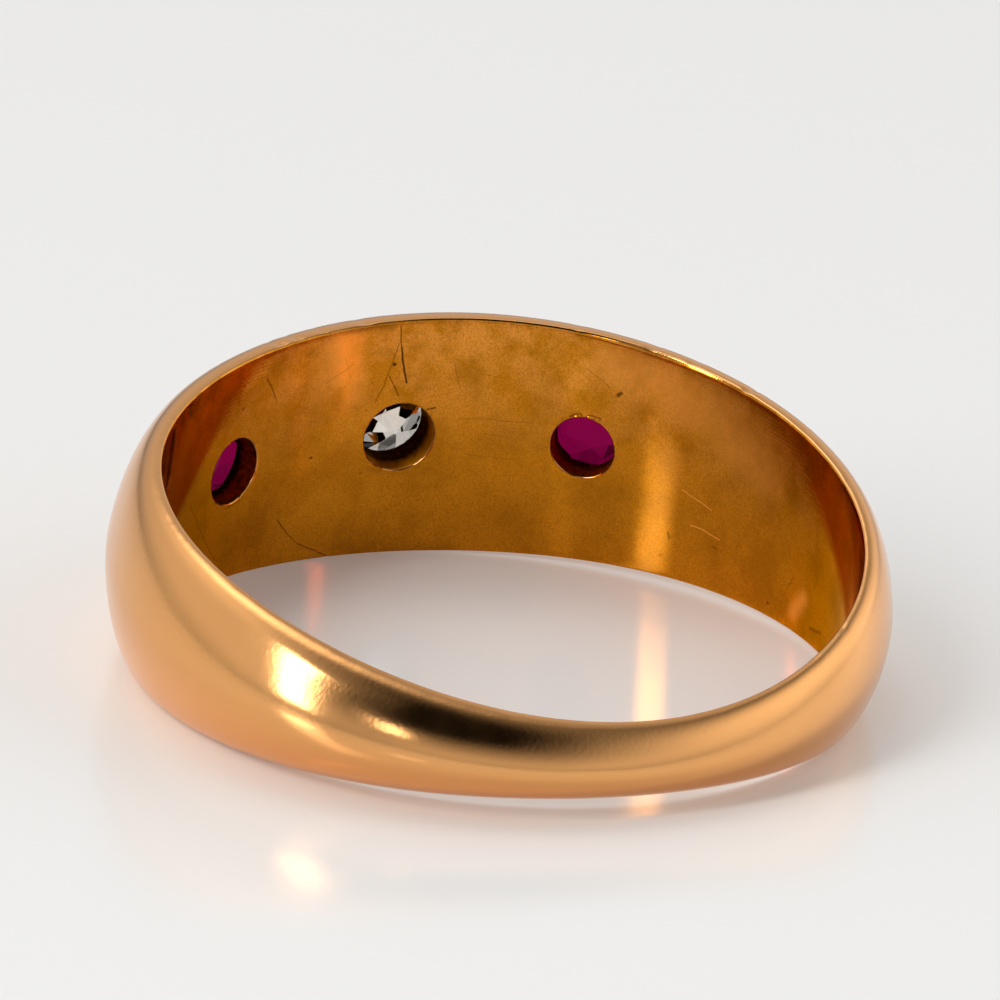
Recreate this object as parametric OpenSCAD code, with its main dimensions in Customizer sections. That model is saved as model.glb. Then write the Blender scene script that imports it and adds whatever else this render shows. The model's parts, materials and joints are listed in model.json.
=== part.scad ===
// Flush set gypsy ring: a tapered gold band, domed outside and round inside, with a diamond
// between two rubies let into its wide head. All sizes are in millimetres.
// The ring is drawn round its finger hole, head towards +X, and then laid down on its lower
// edge. The origin is where the axis of the finger hole meets the surface under the ring.

/* [Finger hole] */
// Diameter of the finger hole
finger_d = 17.4; // [15:0.1:21]
// Rounding of the two edges round the finger hole
edge_round = 0.08; // [0.04:0.01:0.14]

/* [Band width] */
// Width at the middle of the head
head_w = 6.56; // [5.6:0.02:8]
// Width at the shoulders, a sixth of a turn from the head
shoulder_w = 5.6; // [4.6:0.02:6.8]
// Width of the sides of the shank, a third of a turn from the head
side_w = 3.74; // [2.8:0.02:5]
// Width at the back of the shank
back_w = 1.94; // [1.4:0.02:2.8]
// Width of the flat rim beside the edge at the head
head_rim = 0.1; // [0.02:0.01:0.2]
// Width of the flat rim beside the edge at the back
back_rim = 0.02; // [0.01:0.01:0.1]

/* [Band thickness] */
// Thickness of the metal at the middle of the head
head_t = 2.1; // [1.9:0.02:2.6]
// Thickness at the shoulders
shoulder_t = 1.4; // [1.2:0.02:2]
// Thickness at the sides of the shank
side_t = 1.12; // [0.9:0.02:1.5]
// Thickness at the back of the shank
back_t = 1.05; // [0.8:0.01:1.5]
// Fullness of the dome across the band, where 2 is half an ellipse and less is more peaked
dome = 1.46; // [1.2:0.02:2.6]

/* [Wear] */
// How far the rims are bent out of flat, head and back against the sides
bend = 0.07; // [0:0.01:0.15]
// How far the rims are twisted out of flat, one diagonal against the other
twist = 0.11; // [0:0.01:0.15]
// How much more width the left of the back has kept than an even wear leaves
width_skew = 0.12; // [0:0.01:0.2]
// How much more thickness the left of the back has kept than an even wear leaves
wall_skew = 0.36; // [0:0.01:0.4]
// Share of that uneven thickness which is found at the head
head_skew_share = 0.3; // [0:0.05:0.5]

/* [Stones] */
// Diameter of the diamond
diamond_d = 2.7; // [2.5:0.05:3]
// Diameter of the left ruby
ruby_left_d = 2.45; // [2.2:0.05:2.6]
// Diameter of the right ruby
ruby_right_d = 2.45; // [2.2:0.05:2.8]
// Place of the diamond round the ring, in degrees from the middle of the head
diamond_at = -0.5; // [-4:0.5:4]
// Place of the left ruby round the ring, in degrees
ruby_left_at = 33; // [28:0.5:36]
// Place of the right ruby round the ring, in degrees
ruby_right_at = -31.5; // [-38:0.5:-28]

/* [Cut of the stones] */
// Width of the table, as a share of a stone's diameter
table_share = 0.5; // [0.48:0.01:0.62]
// Height of the crown above the girdle, as a share of the diameter
crown_share = 0.14; // [0.11:0.01:0.16]
// Thickness of the girdle, as a share of the diameter
girdle_share = 0.03; // [0.02:0.01:0.04]
// Depth of the diamond's pavilion under its girdle, as a share of the diameter
pavilion_share = 0.47; // [0.42:0.01:0.48]
// Depth of a ruby's pavilion, which is cut off by a wide flat culet
ruby_pavilion_share = 0.267; // [0.22:0.001:0.28]
// Reach of the star facets from the table to the girdle, as a share of the way
star_share = 0.5; // [0.4:0.01:0.6]
// Reach of the diamond's lower girdle facets from the girdle to the culet, as a share of
// the way
half_share = 0.6; // [0.55:0.01:0.85]
// Reach of a ruby's lower girdle facets, as a share of the way
ruby_half_share = 0.95; // [0.85:0.01:0.95]
// Width of the diamond's culet over its corners, as a share of the diameter
culet_share = 0.04; // [0.02:0.01:0.08]
// Width of a ruby's culet over its corners, as a share of the diameter
ruby_culet_share = 0.65; // [0.6:0.01:0.66]

/* [Flush settings] */
// Diameter of the hole drilled under the diamond
diamond_hole_d = 1.86; // [1.5:0.02:2.1]
// Diameter of the hole drilled under the left ruby
ruby_left_hole_d = 1.76; // [1.4:0.02:1.9]
// Diameter of the hole drilled under the right ruby
ruby_right_hole_d = 1.64; // [1.3:0.02:1.9]
// Depth of the tables below the top of the metal
table_sink = 0.08; // [0.02:0.01:0.12]
// Clearance between a stone and its seat
seat_gap = 0.03; // [0.02:0.01:0.06]
// How far the metal is pushed over the edge of a stone
grip = 0.12; // [0.06:0.01:0.16]
// Slope of the bright-cut opening above a stone, in degrees from its axis
flare = 30; // [15:1:45]

/* [Rest] */
// Place where the lower edge of the head touches the surface, in degrees round the ring
rest_head_at = 15; // [-20:1:20]
// Place where the lower left edge touches the surface, in degrees
rest_left_at = 98; // [85:1:115]
// Place where the lower right edge touches the surface, in degrees
rest_right_at = -113; // [-120:1:-90]

/* [Hidden] */

// Number of sections round the band, and of steps across its dome
AROUND = 120;
ACROSS = 18;
// Smoothness of the finger hole and of the seats
HOLE_SIDES = 180;
SEAT_SIDES = 64;
// How far a cutting body runs past what it cuts
past = 0.5;
// Facets round a stone, and the half step between two of them
FACETS = 8;
half_step = 180 / FACETS;

finger_r = finger_d / 2;

// The rounded edge of the finger hole, with each row a place on it as shares of edge_round:
// out from the hole's wall, then in from the rim. The last row lies inside the hole.
OUT = 0;
IN = 1;
EDGE = [[1, 0], [0.3, 0.3], [-1.2, 2.9]];

// A smooth curve round the ring through its values at the head, at a sixth and a third of
// a turn from it, and at the back
function round_curve(v, a) =
    let (
        mean = (v[0] + 2 * v[1] + 2 * v[2] + v[3]) / 6,
        once = (v[0] + v[1] - v[2] - v[3]) / 3,
        twice = (v[0] - v[1] - v[2] + v[3]) / 3,
        thrice = (v[0] - 2 * v[1] + 2 * v[2] - v[3]) / 6
    )
    mean + once * cos(a) + twice * cos(2 * a) + thrice * cos(3 * a);

// Half the width, the thickness, the height of the middle line and the flat rim, at an angle
function half_w(a) =
    (round_curve([head_w, shoulder_w, side_w, back_w], a) - width_skew * sin(2 * a)) / 2;
function skew_share(a) = (1 + head_skew_share) / 2 - (1 - head_skew_share) / 2 * cos(a);
function wall(a) =
    round_curve([head_t, shoulder_t, side_t, back_t], a)
    - wall_skew * skew_share(a) * sin(2 * a);
function middle_z(a) = -bend * cos(2 * a) - twist * sin(2 * a);
function rim_w(a) = (head_rim + back_rim) / 2 + (head_rim - back_rim) / 2 * cos(a);
function crest_r(a) = finger_r + wall(a);

// The points of the section at an angle, as radius and height, from the lower rim over the
// dome to the upper rim and back along the finger hole
function dome_points(a) =
    let (
        rim_r = finger_r + edge_round + rim_w(a),
        rise = crest_r(a) - rim_r
    )
    [
        for (i = [0:ACROSS])
            let (s = -cos(180 * i / ACROSS))
            [rim_r + rise * sqrt(1 - pow(abs(s), dome)), middle_z(a) + half_w(a) * s]
    ];
function edge_point(a, row, side) =
    [
        finger_r + row[OUT] * edge_round,
        middle_z(a) + side * (half_w(a) - row[IN] * edge_round)
    ];
function section(a) =
    let (last = len(EDGE) - 1)
    concat(
        dome_points(a),
        [for (i = [0:last]) edge_point(a, EDGE[i], 1)],
        [for (i = [last:-1:0]) edge_point(a, EDGE[i], -1)]
    );
function at_angle(a, p) = [p[0] * cos(a), p[0] * sin(a), p[1]];

BAND_POINTS = [
    for (i = [0:AROUND - 1])
        let (a = 360 * i / AROUND)
        for (p = section(a))
            at_angle(a, p)
];
per_section = len(BAND_POINTS) / AROUND;

// The two triangles between two sections and two of their points
function band_faces(i, j) =
    let (
        next_i = (i + 1) % AROUND,
        next_j = (j + 1) % per_section,
        p = i * per_section + j,
        q = i * per_section + next_j,
        r = next_i * per_section + next_j,
        s = next_i * per_section + j
    )
    [[p, q, r], [p, r, s]];

// The plane through the three places where the lower edge touches the surface gives the
// two turns that lay the ring down, and its lowest point gives the lift
function rest_point(a) = at_angle(a, edge_point(a, EDGE[0], -1));
rest_up = cross(
    rest_point(rest_left_at) - rest_point(rest_head_at),
    rest_point(rest_right_at) - rest_point(rest_head_at)
);
rest_roll = atan2(rest_up.y, rest_up.z);
rest_pitch = -atan2(rest_up.x, norm([rest_up.y, rest_up.z]));
rest_lift = -min([for (p = BAND_POINTS) p * rest_up / rest_up.z]);

module as_it_lies() {
    rotate([rest_roll, rest_pitch, 0])
        translate([0, 0, rest_lift])
            children();
}

// Puts a thing made round +Z at a place on the crest of the head, +Z pointing outwards
module on_crest(a) {
    rotate([0, 0, a])
        translate([crest_r(a), 0, middle_z(a)])
            rotate([0, 90, 0])
                children();
}

// The cut of a stone under its girdle, with the three shares that differ between them
PAVILION = 0;
HALF = 1;
CULET = 2;
DIAMOND_CUT = [pavilion_share, half_share, culet_share];
RUBY_CUT = [ruby_pavilion_share, ruby_half_share, ruby_culet_share];

// Heights and radii of a round brilliant cut, as shares of its radius. The star facets end,
// and the lower girdle facets begin, halfway between two main facets.
function star_r() = table_share * cos(half_step) * (1 - star_share) + star_share;
function star_h() =
    2 * crown_share * (1 - star_r() * cos(half_step)) / (1 - table_share);
function main_slope(cut) = 2 * cut[PAVILION] / (1 - cut[CULET] * cos(half_step));
function half_r(cut) = 1 - cut[HALF] * (1 - cut[CULET]);
function half_h(cut) = main_slope(cut) * (1 - half_r(cut) * cos(half_step));
// Slope of the crown just above the girdle where it is steepest
crown_slope = star_h() / (1 - star_r());
// Slope of the cone round the pavilion, along the edges between its lower girdle facets
function cone_slope(cut) = half_h(cut) / (1 - half_r(cut));

// Height of the top of the girdle, measured from the crest of the head
function girdle_z(d) = -table_sink - crown_share * d;

function ring_of(count, turn, r, z) =
    [for (i = [0:count - 1]) let (a = turn + 360 * i / count) [r * cos(a), r * sin(a), z]];

// A cut stone with a table, a crown, a girdle and a pavilion that ends in a flat culet. Its
// point lists run: table, star tips, upper girdle, lower girdle, half facet tips, culet.
module brilliant(d, cut) {
    r = d / 2;
    top = girdle_z(d);
    low = top - girdle_share * d;
    points = concat(
        ring_of(FACETS, 0, table_share * r, top + crown_share * d),
        ring_of(FACETS, half_step, star_r() * r, top + star_h() * r),
        ring_of(2 * FACETS, 0, r, top),
        ring_of(2 * FACETS, 0, r, low),
        ring_of(FACETS, half_step, half_r(cut) * r, low - half_h(cut) * r),
        ring_of(FACETS, half_step, cut[CULET] * r, low - cut[PAVILION] * d)
    );
    star = FACETS;
    upper = 2 * FACETS;
    lower = 4 * FACETS;
    half = 6 * FACETS;
    culet = 7 * FACETS;
    faces = concat(
        [[for (k = [FACETS - 1:-1:0]) k]],
        [for (k = [0:FACETS - 1]) each main_faces(k, star, upper, lower, half, culet)],
        [for (k = [0:2 * FACETS - 1]) girdle_face(k, upper, lower)],
        [[for (k = [0:FACETS - 1]) culet + k]]
    );
    polyhedron(points = points, faces = faces);
}

// The star, kite, half and main facets that belong to one eighth of a stone
function main_faces(k, star, upper, lower, half, culet) =
    let (
        next = (k + 1) % FACETS,
        before = (k + FACETS - 1) % FACETS,
        g = 2 * k,
        g1 = g + 1,
        g2 = (g + 2) % (2 * FACETS)
    )
    [
        [k, next, star + k],
        [k, star + k, upper + g, star + before],
        [star + k, upper + g1, upper + g],
        [star + k, upper + g2, upper + g1],
        [lower + g, lower + g1, half + k],
        [lower + g1, lower + g2, half + k],
        [lower + g, half + k, culet + k, culet + before, half + before]
    ];
function girdle_face(k, upper, lower) =
    let (next = (k + 1) % (2 * FACETS))
    [upper + k, upper + next, lower + next, lower + k];

// The space cut for a stone: the drilled hole, the seat under the pavilion, the groove for
// the girdle with metal closed over it, and the bright-cut opening
module seat_space(stone_d, hole_d, wall_t, cut) {
    hole_r = hole_d / 2;
    seat_r = stone_d / 2 + seat_gap;
    lip_r = stone_d / 2 - grip;
    top = girdle_z(stone_d);
    low = top - girdle_share * stone_d;
    hole_z = low - (seat_r - hole_r) * cone_slope(cut);
    lip_z = top + (seat_r - lip_r) * crown_slope;
    open_r = lip_r + (past - lip_z) * tan(flare);
    rotate_extrude($fn = SEAT_SIDES)
        polygon([
            [0, -wall_t - past],
            [hole_r, -wall_t - past],
            [hole_r, hole_z],
            [seat_r, low],
            [seat_r, top],
            [lip_r, lip_z],
            [open_r, past],
            [0, past]
        ]);
}

module band() {
    color("#c98b4a")
        as_it_lies()
            difference() {
                polyhedron(
                    points = BAND_POINTS,
                    faces = [
                        for (i = [0:AROUND - 1])
                            for (j = [0:per_section - 1])
                                each band_faces(i, j)
                    ]
                );
                cylinder(h = 2 * head_w, r = finger_r, center = true, $fn = HOLE_SIDES);
                on_crest(diamond_at)
                    seat_space(diamond_d, diamond_hole_d, wall(diamond_at), DIAMOND_CUT);
                on_crest(ruby_left_at)
                    seat_space(ruby_left_d, ruby_left_hole_d, wall(ruby_left_at), RUBY_CUT);
                on_crest(ruby_right_at)
                    seat_space(ruby_right_d, ruby_right_hole_d, wall(ruby_right_at), RUBY_CUT);
            }
}

module diamond() {
    color("#e9edf0")
        as_it_lies()
            on_crest(diamond_at)
                brilliant(diamond_d, DIAMOND_CUT);
}

module ruby_left() {
    color("#8c0f45")
        as_it_lies()
            on_crest(ruby_left_at)
                brilliant(ruby_left_d, RUBY_CUT);
}

module ruby_right() {
    color("#8c0f45")
        as_it_lies()
            on_crest(ruby_right_at)
                brilliant(ruby_right_d, RUBY_CUT);
}

band();
diamond();
ruby_left();
ruby_right();
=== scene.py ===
"""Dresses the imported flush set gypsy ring: a worn gold band and its three stones.

The band replaces its plain solid with a fine mesh made from the same sizes. The stones keep
their solids and get the look of cut diamond and ruby.
"""

import json
import math

import bpy
import numpy as np
from mathutils import Matrix, Vector, noise


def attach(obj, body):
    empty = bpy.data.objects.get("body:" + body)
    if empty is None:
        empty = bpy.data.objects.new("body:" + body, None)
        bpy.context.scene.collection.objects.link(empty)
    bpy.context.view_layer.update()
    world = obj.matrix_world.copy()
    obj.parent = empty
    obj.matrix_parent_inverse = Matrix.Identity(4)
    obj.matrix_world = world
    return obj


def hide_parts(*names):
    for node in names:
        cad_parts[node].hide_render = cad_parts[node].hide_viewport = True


bl_info = {
    "name": "Flush Set Gypsy Ring",
    "version": (1, 0, 0),
    "blender": (4, 5, 0),
    "location": "3D View > Sidebar > Gypsy Ring",
    "description": "Builds a worn gold gypsy ring with its stones, floor, lights and camera",
    "category": "Object",
}

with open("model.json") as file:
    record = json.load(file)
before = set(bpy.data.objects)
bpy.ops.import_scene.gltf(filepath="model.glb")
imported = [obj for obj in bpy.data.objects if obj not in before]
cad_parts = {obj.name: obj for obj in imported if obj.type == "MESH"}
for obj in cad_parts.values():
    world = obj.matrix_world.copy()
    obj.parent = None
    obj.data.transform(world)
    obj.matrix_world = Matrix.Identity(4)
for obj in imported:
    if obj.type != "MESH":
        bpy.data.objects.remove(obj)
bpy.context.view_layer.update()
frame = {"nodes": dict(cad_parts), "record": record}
BORE = frame["record"]["mounts"][0]
MM = 0.001

# Sections round the band, and steps across its dome, its inner wall and its rounded edges
COLUMNS = 720
DOME_ROWS = 48
WALL_ROWS = 44
EDGE_ROWS = 5
# Half the width and half the height of the window left in the mesh round a hole, in
# columns and rows, and the places round its edge
WINDOW = (19, 9)
PLACES = 4 * sum(WINDOW)
# Steps between a window and its hole, and down the drilled wall
BLEND_STEPS = 10
DRILL_STEPS = 10
# Steps that find where a curve of a hole meets the dome
MEETING_STEPS = 6
# Where the upper rim is rubbed rounder: middle and reach in degrees, and how much
RUBBED_RIM = [(-44, 15, 1.5), (118, 24, 1.2), (-104, 20, 1.8)]
# Widths of the wide and the small hollows that wear leaves in the dome, in millimetres
WIDE_HOLLOW, SMALL_HOLLOW = 2.3, 0.9
# How many wide and small chips of the rims go to a millimetre, roughly
WIDE_CHIPS, SMALL_CHIPS = 1.7, 3
# Where the burr of each hole is thickest, from its side nearer the left ruby, in radians
BURR_AT = {"diamond": -0.9, "ruby_left": -1.6, "ruby_right": 1.6}
# How thick the burr is all round, how much more at its thickest, and how far that reaches
BURR_LEAST, BURR_MORE, BURR_REACH = 0.35, 1.5, 0.5
# How much painted shade the rubies' drilled walls keep right up to the finger hole
RUBY_HOLE_SHADE = 0.65
# Edges that bend by more than this many degrees are shaded sharp
SHARP_EDGE = 38
# Half the angle between two of the eight main facets of a stone
HALF_STEP = math.pi / 8


def length(name, description, mm):
    """A size in the sidebar, given in millimetres."""
    return bpy.props.FloatProperty(
        name=name, description=description, default=mm * MM, unit="LENGTH", precision=5
    )


def share(name, description, default):
    """A share or exponent in the sidebar."""
    return bpy.props.FloatProperty(name=name, description=description, default=default)


def turn(name, description, degrees):
    """A place round the ring, or an angle, in the sidebar."""
    return bpy.props.FloatProperty(
        name=name, description=description, default=math.radians(degrees), unit="ROTATION"
    )


def linear(hex_colour):
    """A linear colour with full alpha from an sRGB hex value."""
    shares = [int(hex_colour[i : i + 2], 16) / 255 for i in (1, 3, 5)]
    curve = [s / 12.92 if s <= 0.04045 else ((s + 0.055) / 1.055) ** 2.4 for s in shares]
    return (*curve, 1.0)


def colour(name, description, hex_colour):
    """A colour in the sidebar, given as an sRGB hex value."""
    return bpy.props.FloatVectorProperty(
        name=name,
        description=description,
        default=linear(hex_colour),
        subtype="COLOR",
        size=4,
        min=0,
        max=1,
    )


class BandSizes(bpy.types.PropertyGroup):
    """The sizes of the gold band."""

    finger_d: length("Finger hole", "Diameter of the finger hole", 2 * BORE["dims"]["r_mm"])
    edge_round: length("Edge rounding", "Rounding of the edges round the finger hole", 0.08)
    head_w: length("Head width", "Width at the middle of the head", 6.56)
    shoulder_w: length("Shoulder width", "Width a sixth of a turn from the head", 5.6)
    side_w: length("Side width", "Width a third of a turn from the head", 3.74)
    back_w: length("Back width", "Width at the back of the shank", 1.94)
    head_rim: length("Rim at the head", "Width of the flat rim at the head", 0.1)
    back_rim: length("Rim at the back", "Width of the flat rim at the back", 0.02)
    head_t: length("Head thickness", "Thickness at the middle of the head", 2.1)
    shoulder_t: length("Shoulder thickness", "Thickness at the shoulders", 1.4)
    side_t: length("Side thickness", "Thickness at the sides", 1.12)
    back_t: length("Back thickness", "Thickness at the back", 1.05)
    dome: share("Dome", "Fullness of the dome, where 2 is half an ellipse", 1.46)
    crest: share("Crest", "Softness of the dome along its crest", 0.12)
    bend: length("Bend", "How far the rims are bent out of flat", 0.07)
    twist: length("Twist", "How far the rims are twisted out of flat", 0.11)
    width_skew: length("Width skew", "Width kept by the left of the back", 0.12)
    wall_skew: length("Thickness skew", "Thickness kept by the left of the back", 0.36)
    head_skew_share: share("Skew at the head", "Share of the thickness skew at the head", 0.3)
    waviness: length("Waviness", "Depth of the soft hollows that wear leaves", 0.012)


class SettingSizes(bpy.types.PropertyGroup):
    """The sizes of the flush settings and of the stones in them."""

    diamond_d: length("Diamond", "Diameter of the diamond", 2.7)
    ruby_left_d: length("Left ruby", "Diameter of the left ruby", 2.45)
    ruby_right_d: length("Right ruby", "Diameter of the right ruby", 2.45)
    diamond_at: turn("Diamond place", "Place of the diamond round the ring", -0.5)
    ruby_left_at: turn("Left ruby place", "Place of the left ruby round the ring", 33)
    ruby_right_at: turn("Right ruby place", "Place of the right ruby round the ring", -31.5)
    diamond_hole_d: length("Diamond hole", "Hole drilled under the diamond", 1.86)
    ruby_left_hole_d: length("Left ruby hole", "Hole drilled under the left ruby", 1.76)
    ruby_right_hole_d: length("Right ruby hole", "Hole drilled under the right ruby", 1.64)
    table_share: share("Table", "Width of a table as a share of the diameter", 0.5)
    star_share: share("Star facets", "Reach of the star facets, as a share of the way", 0.5)
    crown_share: share("Crown", "Height of a crown as a share of the diameter", 0.14)
    girdle_share: share("Girdle", "Thickness of a girdle as a share of the diameter", 0.03)
    pavilion_share: share("Pavilion", "Depth of the diamond's pavilion, as a share", 0.47)
    half_share: share("Half facets", "Reach of the diamond's lower half facets", 0.6)
    culet_share: share("Culet", "Width of the diamond's culet, as a share", 0.04)
    ruby_pavilion_share: share("Ruby pavilion", "Depth of a ruby's pavilion, a share", 0.267)
    ruby_half_share: share("Ruby half facets", "Reach of a ruby's lower half facets", 0.95)
    ruby_culet_share: share("Ruby culet", "Width of a ruby's flat culet, as a share", 0.65)
    table_sink: length("Table depth", "Depth of the tables below the top of the metal", 0.08)
    seat_gap: length("Seat clearance", "Clearance between a stone and its seat", 0.03)
    grip: length("Grip", "How far the metal is pushed over the edge of a stone", 0.12)
    flare: turn("Flare", "Slope of the bright-cut opening from its axis", 30)
    # Depth down the drilled walls before the painted shade sets in
    unshaded_depth: length("Clean depth", "How deep the drilled walls are still clean", 0.5)
    burr: length("Burr", "Height of the burr round the drilled holes", 0.04)
    burnish: length("Burnish", "Width of the rubbed edge round a hole", 0.05)


class Finishes(bpy.types.PropertyGroup):
    """The colours of the gold, the stones and the floor."""

    gold: colour("Gold", "Reflection of the polished 18 carat gold", "#ebaa69")
    satin: colour("Satin gold", "Reflection of the satin inner wall", "#d2861a")
    film: colour("Film", "Olive brown film on the inner wall", "#9a5f0c")
    # Also the colour of the painted highlight towards the upper rim and of the wide bright patches
    # that are painted reflections of light
    pale_and_lit: colour("Pale gold", "Inner wall where it is rubbed paler", "#ffab4a")
    speck: colour("Specks", "Fine dark grain of the inner wall", "#7d4506")
    # Also the colour of the painted shade deep in the drilled holes and under the stones
    tarnish_and_shade: colour("Tarnish", "Brown film in the scratches and pits", "#2a1204")
    diamond: colour("Diamond", "Tint of the diamond", "#e2dbd2")
    ruby: colour("Ruby", "Light that the ruby lets through", "#850243")
    floor: colour("Floor", "Colour of the floor", "#f4f3f1")
    satin_edge: colour("Satin edge", "Reflection of the inner wall seen aslant", "#ffe7b3")
    drilled_edge: colour("Drilled edge", "Reflection of a drilled wall seen aslant", "#ffc46c")
    diamond_sheen: colour("Diamond sheen", "Tint of the diamond's reflections", "#aaa6a0")
    ruby_sheen: colour("Ruby sheen", "Tint of the rubies' reflections", "#7c194b")
    glow: colour("Glow", "Colour of the light from below the floor", "#fffefc")


class StageSizes(bpy.types.PropertyGroup):
    """The places of the camera and the lights."""

    camera_at: turn("Camera azimuth", "Direction of the camera round the ring", 159.625)
    camera_up: turn("Camera elevation", "Height of the camera above the floor", 19.574)
    camera_roll: turn("Camera roll", "Turn of the camera about its own axis", 4.732)
    camera_far: length("Camera distance", "Distance from the camera to its aim", 304.5)
    aim_x: length("Aim X", "Where the camera looks, along X", 0.526)
    aim_y: length("Aim Y", "Where the camera looks, along Y", -0.006)
    aim_z: length("Aim Z", "Where the camera looks, above the floor", 4.433)
    lens: bpy.props.FloatProperty(
        name="Lens", description="Focal length in millimetres", default=444.43, unit="CAMERA"
    )


def round_curve(values, angle):
    """A smooth curve round the ring through its values at the head, a sixth of a turn from
    it, a third of a turn from it and at the back."""
    head, shoulder, side, back = values
    mean = (head + 2 * shoulder + 2 * side + back) / 6
    once = (head + shoulder - side - back) / 3
    twice = (head - shoulder - side + back) / 3
    thrice = (head - 2 * shoulder + 2 * side - back) / 6
    return mean + once * np.cos(angle) + twice * np.cos(2 * angle) + thrice * np.cos(3 * angle)


class BandShape:
    """The surfaces of the band, worked out from its sizes as they are in its solid."""

    def __init__(self, sizes):
        self.sizes = sizes
        self.finger_r = sizes.finger_d / 2

    def half_w(self, angle):
        """Half the width of the band."""
        s = self.sizes
        even = round_curve((s.head_w, s.shoulder_w, s.side_w, s.back_w), angle)
        return (even - s.width_skew * np.sin(2 * angle)) / 2

    def wall(self, angle):
        """The thickness of the metal under the crest of the dome."""
        s = self.sizes
        even = round_curve((s.head_t, s.shoulder_t, s.side_t, s.back_t), angle)
        kept = (1 + s.head_skew_share) / 2 - (1 - s.head_skew_share) / 2 * np.cos(angle)
        return even - s.wall_skew * kept * np.sin(2 * angle)

    def middle(self, angle):
        """The height of the middle line of the band."""
        return -self.sizes.bend * np.cos(2 * angle) - self.sizes.twist * np.sin(2 * angle)

    def crest_r(self, angle):
        """The radius of the crest of the dome."""
        return self.finger_r + self.wall(angle)

    def rim_r(self, angle):
        """The radius where the flat rim ends and the dome begins."""
        s = self.sizes
        rim = (s.head_rim + s.back_rim) / 2 + (s.head_rim - s.back_rim) / 2 * np.cos(angle)
        return self.finger_r + s.edge_round + rim

    def dome_r(self, angle, across):
        """The radius of the dome, where across runs from -1 at the lower rim to 1."""
        soft = self.sizes.crest
        power = self.sizes.dome / 2
        low = soft ** (2 * power)
        high = (1 + soft**2) ** power
        fall = ((across**2 + soft**2) ** power - low) / (high - low)
        rise = self.crest_r(angle) - self.rim_r(angle)
        return self.rim_r(angle) + rise * np.sqrt(np.clip(1 - fall, 0, 1))

    def sections(self, angles):
        """The closed outline of the band at each angle, as radii and heights, and how much
        of the dome's wear, of the wall's satin and of the rims' nicks each place has. It
        runs from the lower rim over the dome and back down the wall of the finger hole."""
        s = self.sizes
        angle = angles[:, None]
        half, mid = self.half_w(angle), self.middle(angle)
        across = -np.cos(np.pi * np.arange(DOME_ROWS + 1) / DOME_ROWS)
        bow = np.pi / 2 * np.arange(EDGE_ROWS + 1) / EDGE_ROWS
        down = np.linspace(1, -1, WALL_ROWS + 1)[1:-1]
        edge_out = s.edge_round * (1 - np.sin(bow))
        edge_in = s.edge_round * (1 - np.cos(bow))
        inner = np.concatenate([edge_out, np.zeros(len(down)), edge_out[::-1]])
        # The upper rim is rubbed rounder in three places
        rubbed = s.edge_round * (1 + 0 * angle)
        for at, reach, more in RUBBED_RIM:
            near = (np.cos(angle - math.radians(at)) - 1) / (1 - math.cos(math.radians(reach)))
            rubbed += s.edge_round * more * np.exp(near)
        low, high = s.edge_round - half, half - rubbed
        radii = np.hstack([self.dome_r(angle, across), self.finger_r + inner + 0 * angle])
        heights = np.hstack(
            [
                mid + half * across,
                mid + half - edge_in / s.edge_round * rubbed,
                mid + low + (high - low) * (down + 1) / 2,
                mid - half + edge_in[::-1],
            ]
        )
        dome = np.concatenate([1 - across**8, np.zeros(len(inner))])
        satin = np.concatenate([np.zeros(len(across)), 1 - inner / s.edge_round])
        side = np.concatenate([np.sign(across), np.ones(EDGE_ROWS + 1), 0 * down])
        side = np.concatenate([side, -np.ones(EDGE_ROWS + 1)])
        rim = np.concatenate([across**24, inner / s.edge_round]) * side
        return radii, heights, dome, satin, rim


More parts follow.
